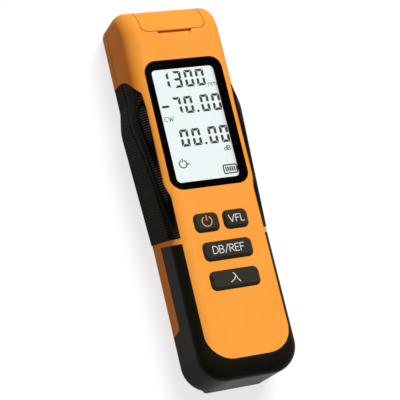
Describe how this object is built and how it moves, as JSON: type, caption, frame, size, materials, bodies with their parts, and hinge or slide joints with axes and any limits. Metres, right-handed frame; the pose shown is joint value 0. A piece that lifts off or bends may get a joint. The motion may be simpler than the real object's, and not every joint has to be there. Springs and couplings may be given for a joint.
{
  "type": "optical power meter",
  "caption": "Pocket optical power meter with a lit display, four keys, side grips, an end boot, a flip-up port cover and a sliding battery door.",
  "frame": {"origin": "centre of the meter's box, on the surface its back rests on", "axes": "+X across the meter, +Y towards the port end, +Z out of the display"},
  "size_m": [0.0438, 0.1494, 0.0284],
  "materials": {
    "orange_abs": "satin moulded ABS",
    "gloss_black": "polished black",
    "grip_rubber": "ribbed elastomer",
    "clear_lens": "clear acrylic",
    "lcd_glass": "white-lit display",
    "white_plastic": "diffuser white",
    "black_silicone": "silicone",
    "key_rubber": "fine satin",
    "switch_steel": "pressed tin",
    "board_green": "solder mask",
    "screw_steel": "zinc plated",
    "chip_black": "moulded black",
    "nickel": "nickel plated",
    "brass": "turned",
    "ceramic": "zirconia",
    "cell_wrap": "printed sleeve, plain",
    "contact_steel": "nickel plated spring steel"
  },
  "bodies": {
    "case": {"front_shell": "orange_abs", "rear_shell": "orange_abs", "end_boot": "gloss_black", "lcd_frame": "gloss_black", "grip_left": "grip_rubber", "grip_right": "grip_rubber", "display_lens": "clear_lens", "lcd_cell": "lcd_glass", "backlight": "white_plastic", "display_connector": "black_silicone", "keypad_mat": "black_silicone", "tact_switches": "switch_steel", "main_board": "board_green", "board_screws": "screw_steel", "case_screws": "screw_steel", "cover_pin": "screw_steel", "controller_chip": "chip_black", "amplifier_shield": "switch_steel", "port_plate": "chip_black", "detector_adapter": "nickel", "laser_adapter": "nickel", "detector_nut": "brass", "laser_nut": "brass", "ferrule_sleeve": "ceramic", "photodiode": "brass", "laser_module": "brass", "battery_1": "cell_wrap", "battery_2": "cell_wrap", "foot_spring": "contact_steel", "head_spring": "contact_steel", "bridge_contact": "contact_steel", "positive_contact": "contact_steel", "negative_contact": "contact_steel"},
    "cover": {"port_cover": "orange_abs"},
    "door": {"battery_door": "gloss_black"},
    "power_key": {"power_key": "key_rubber"},
    "vfl_key": {"vfl_key": "key_rubber"},
    "reference_key": {"reference_key": "key_rubber"},
    "wavelength_key": {"wavelength_key": "key_rubber"}
  },
  "joints": [
    {"name": "cover_flip", "type": "hinge", "parent": "case", "child": "cover", "pos_m": [0, 0.07105, 0.0037], "axis": [-1, 0, 0], "range_deg": [0, 90]},
    {"name": "door_slide", "type": "slide", "parent": "case", "child": "door", "axis": [0, -1, 0], "range_m": [0, 0.062]},
    {"name": "power_key_press", "type": "slide", "parent": "case", "child": "power_key", "axis": [0, 0, -1], "range_m": [0, 0.0006], "stiffness_N_per_m": 1500, "springref_m": -0.0003},
    {"name": "vfl_key_press", "type": "slide", "parent": "case", "child": "vfl_key", "axis": [0, 0, -1], "range_m": [0, 0.0006], "stiffness_N_per_m": 1500, "springref_m": -0.0003},
    {"name": "reference_key_press", "type": "slide", "parent": "case", "child": "reference_key", "axis": [0, 0, -1], "range_m": [0, 0.0006], "stiffness_N_per_m": 1500, "springref_m": -0.0003},
    {"name": "wavelength_key_press", "type": "slide", "parent": "case", "child": "wavelength_key", "axis": [0, 0, -1], "range_m": [0, 0.0006], "stiffness_N_per_m": 1500, "springref_m": -0.0003}
  ]
}
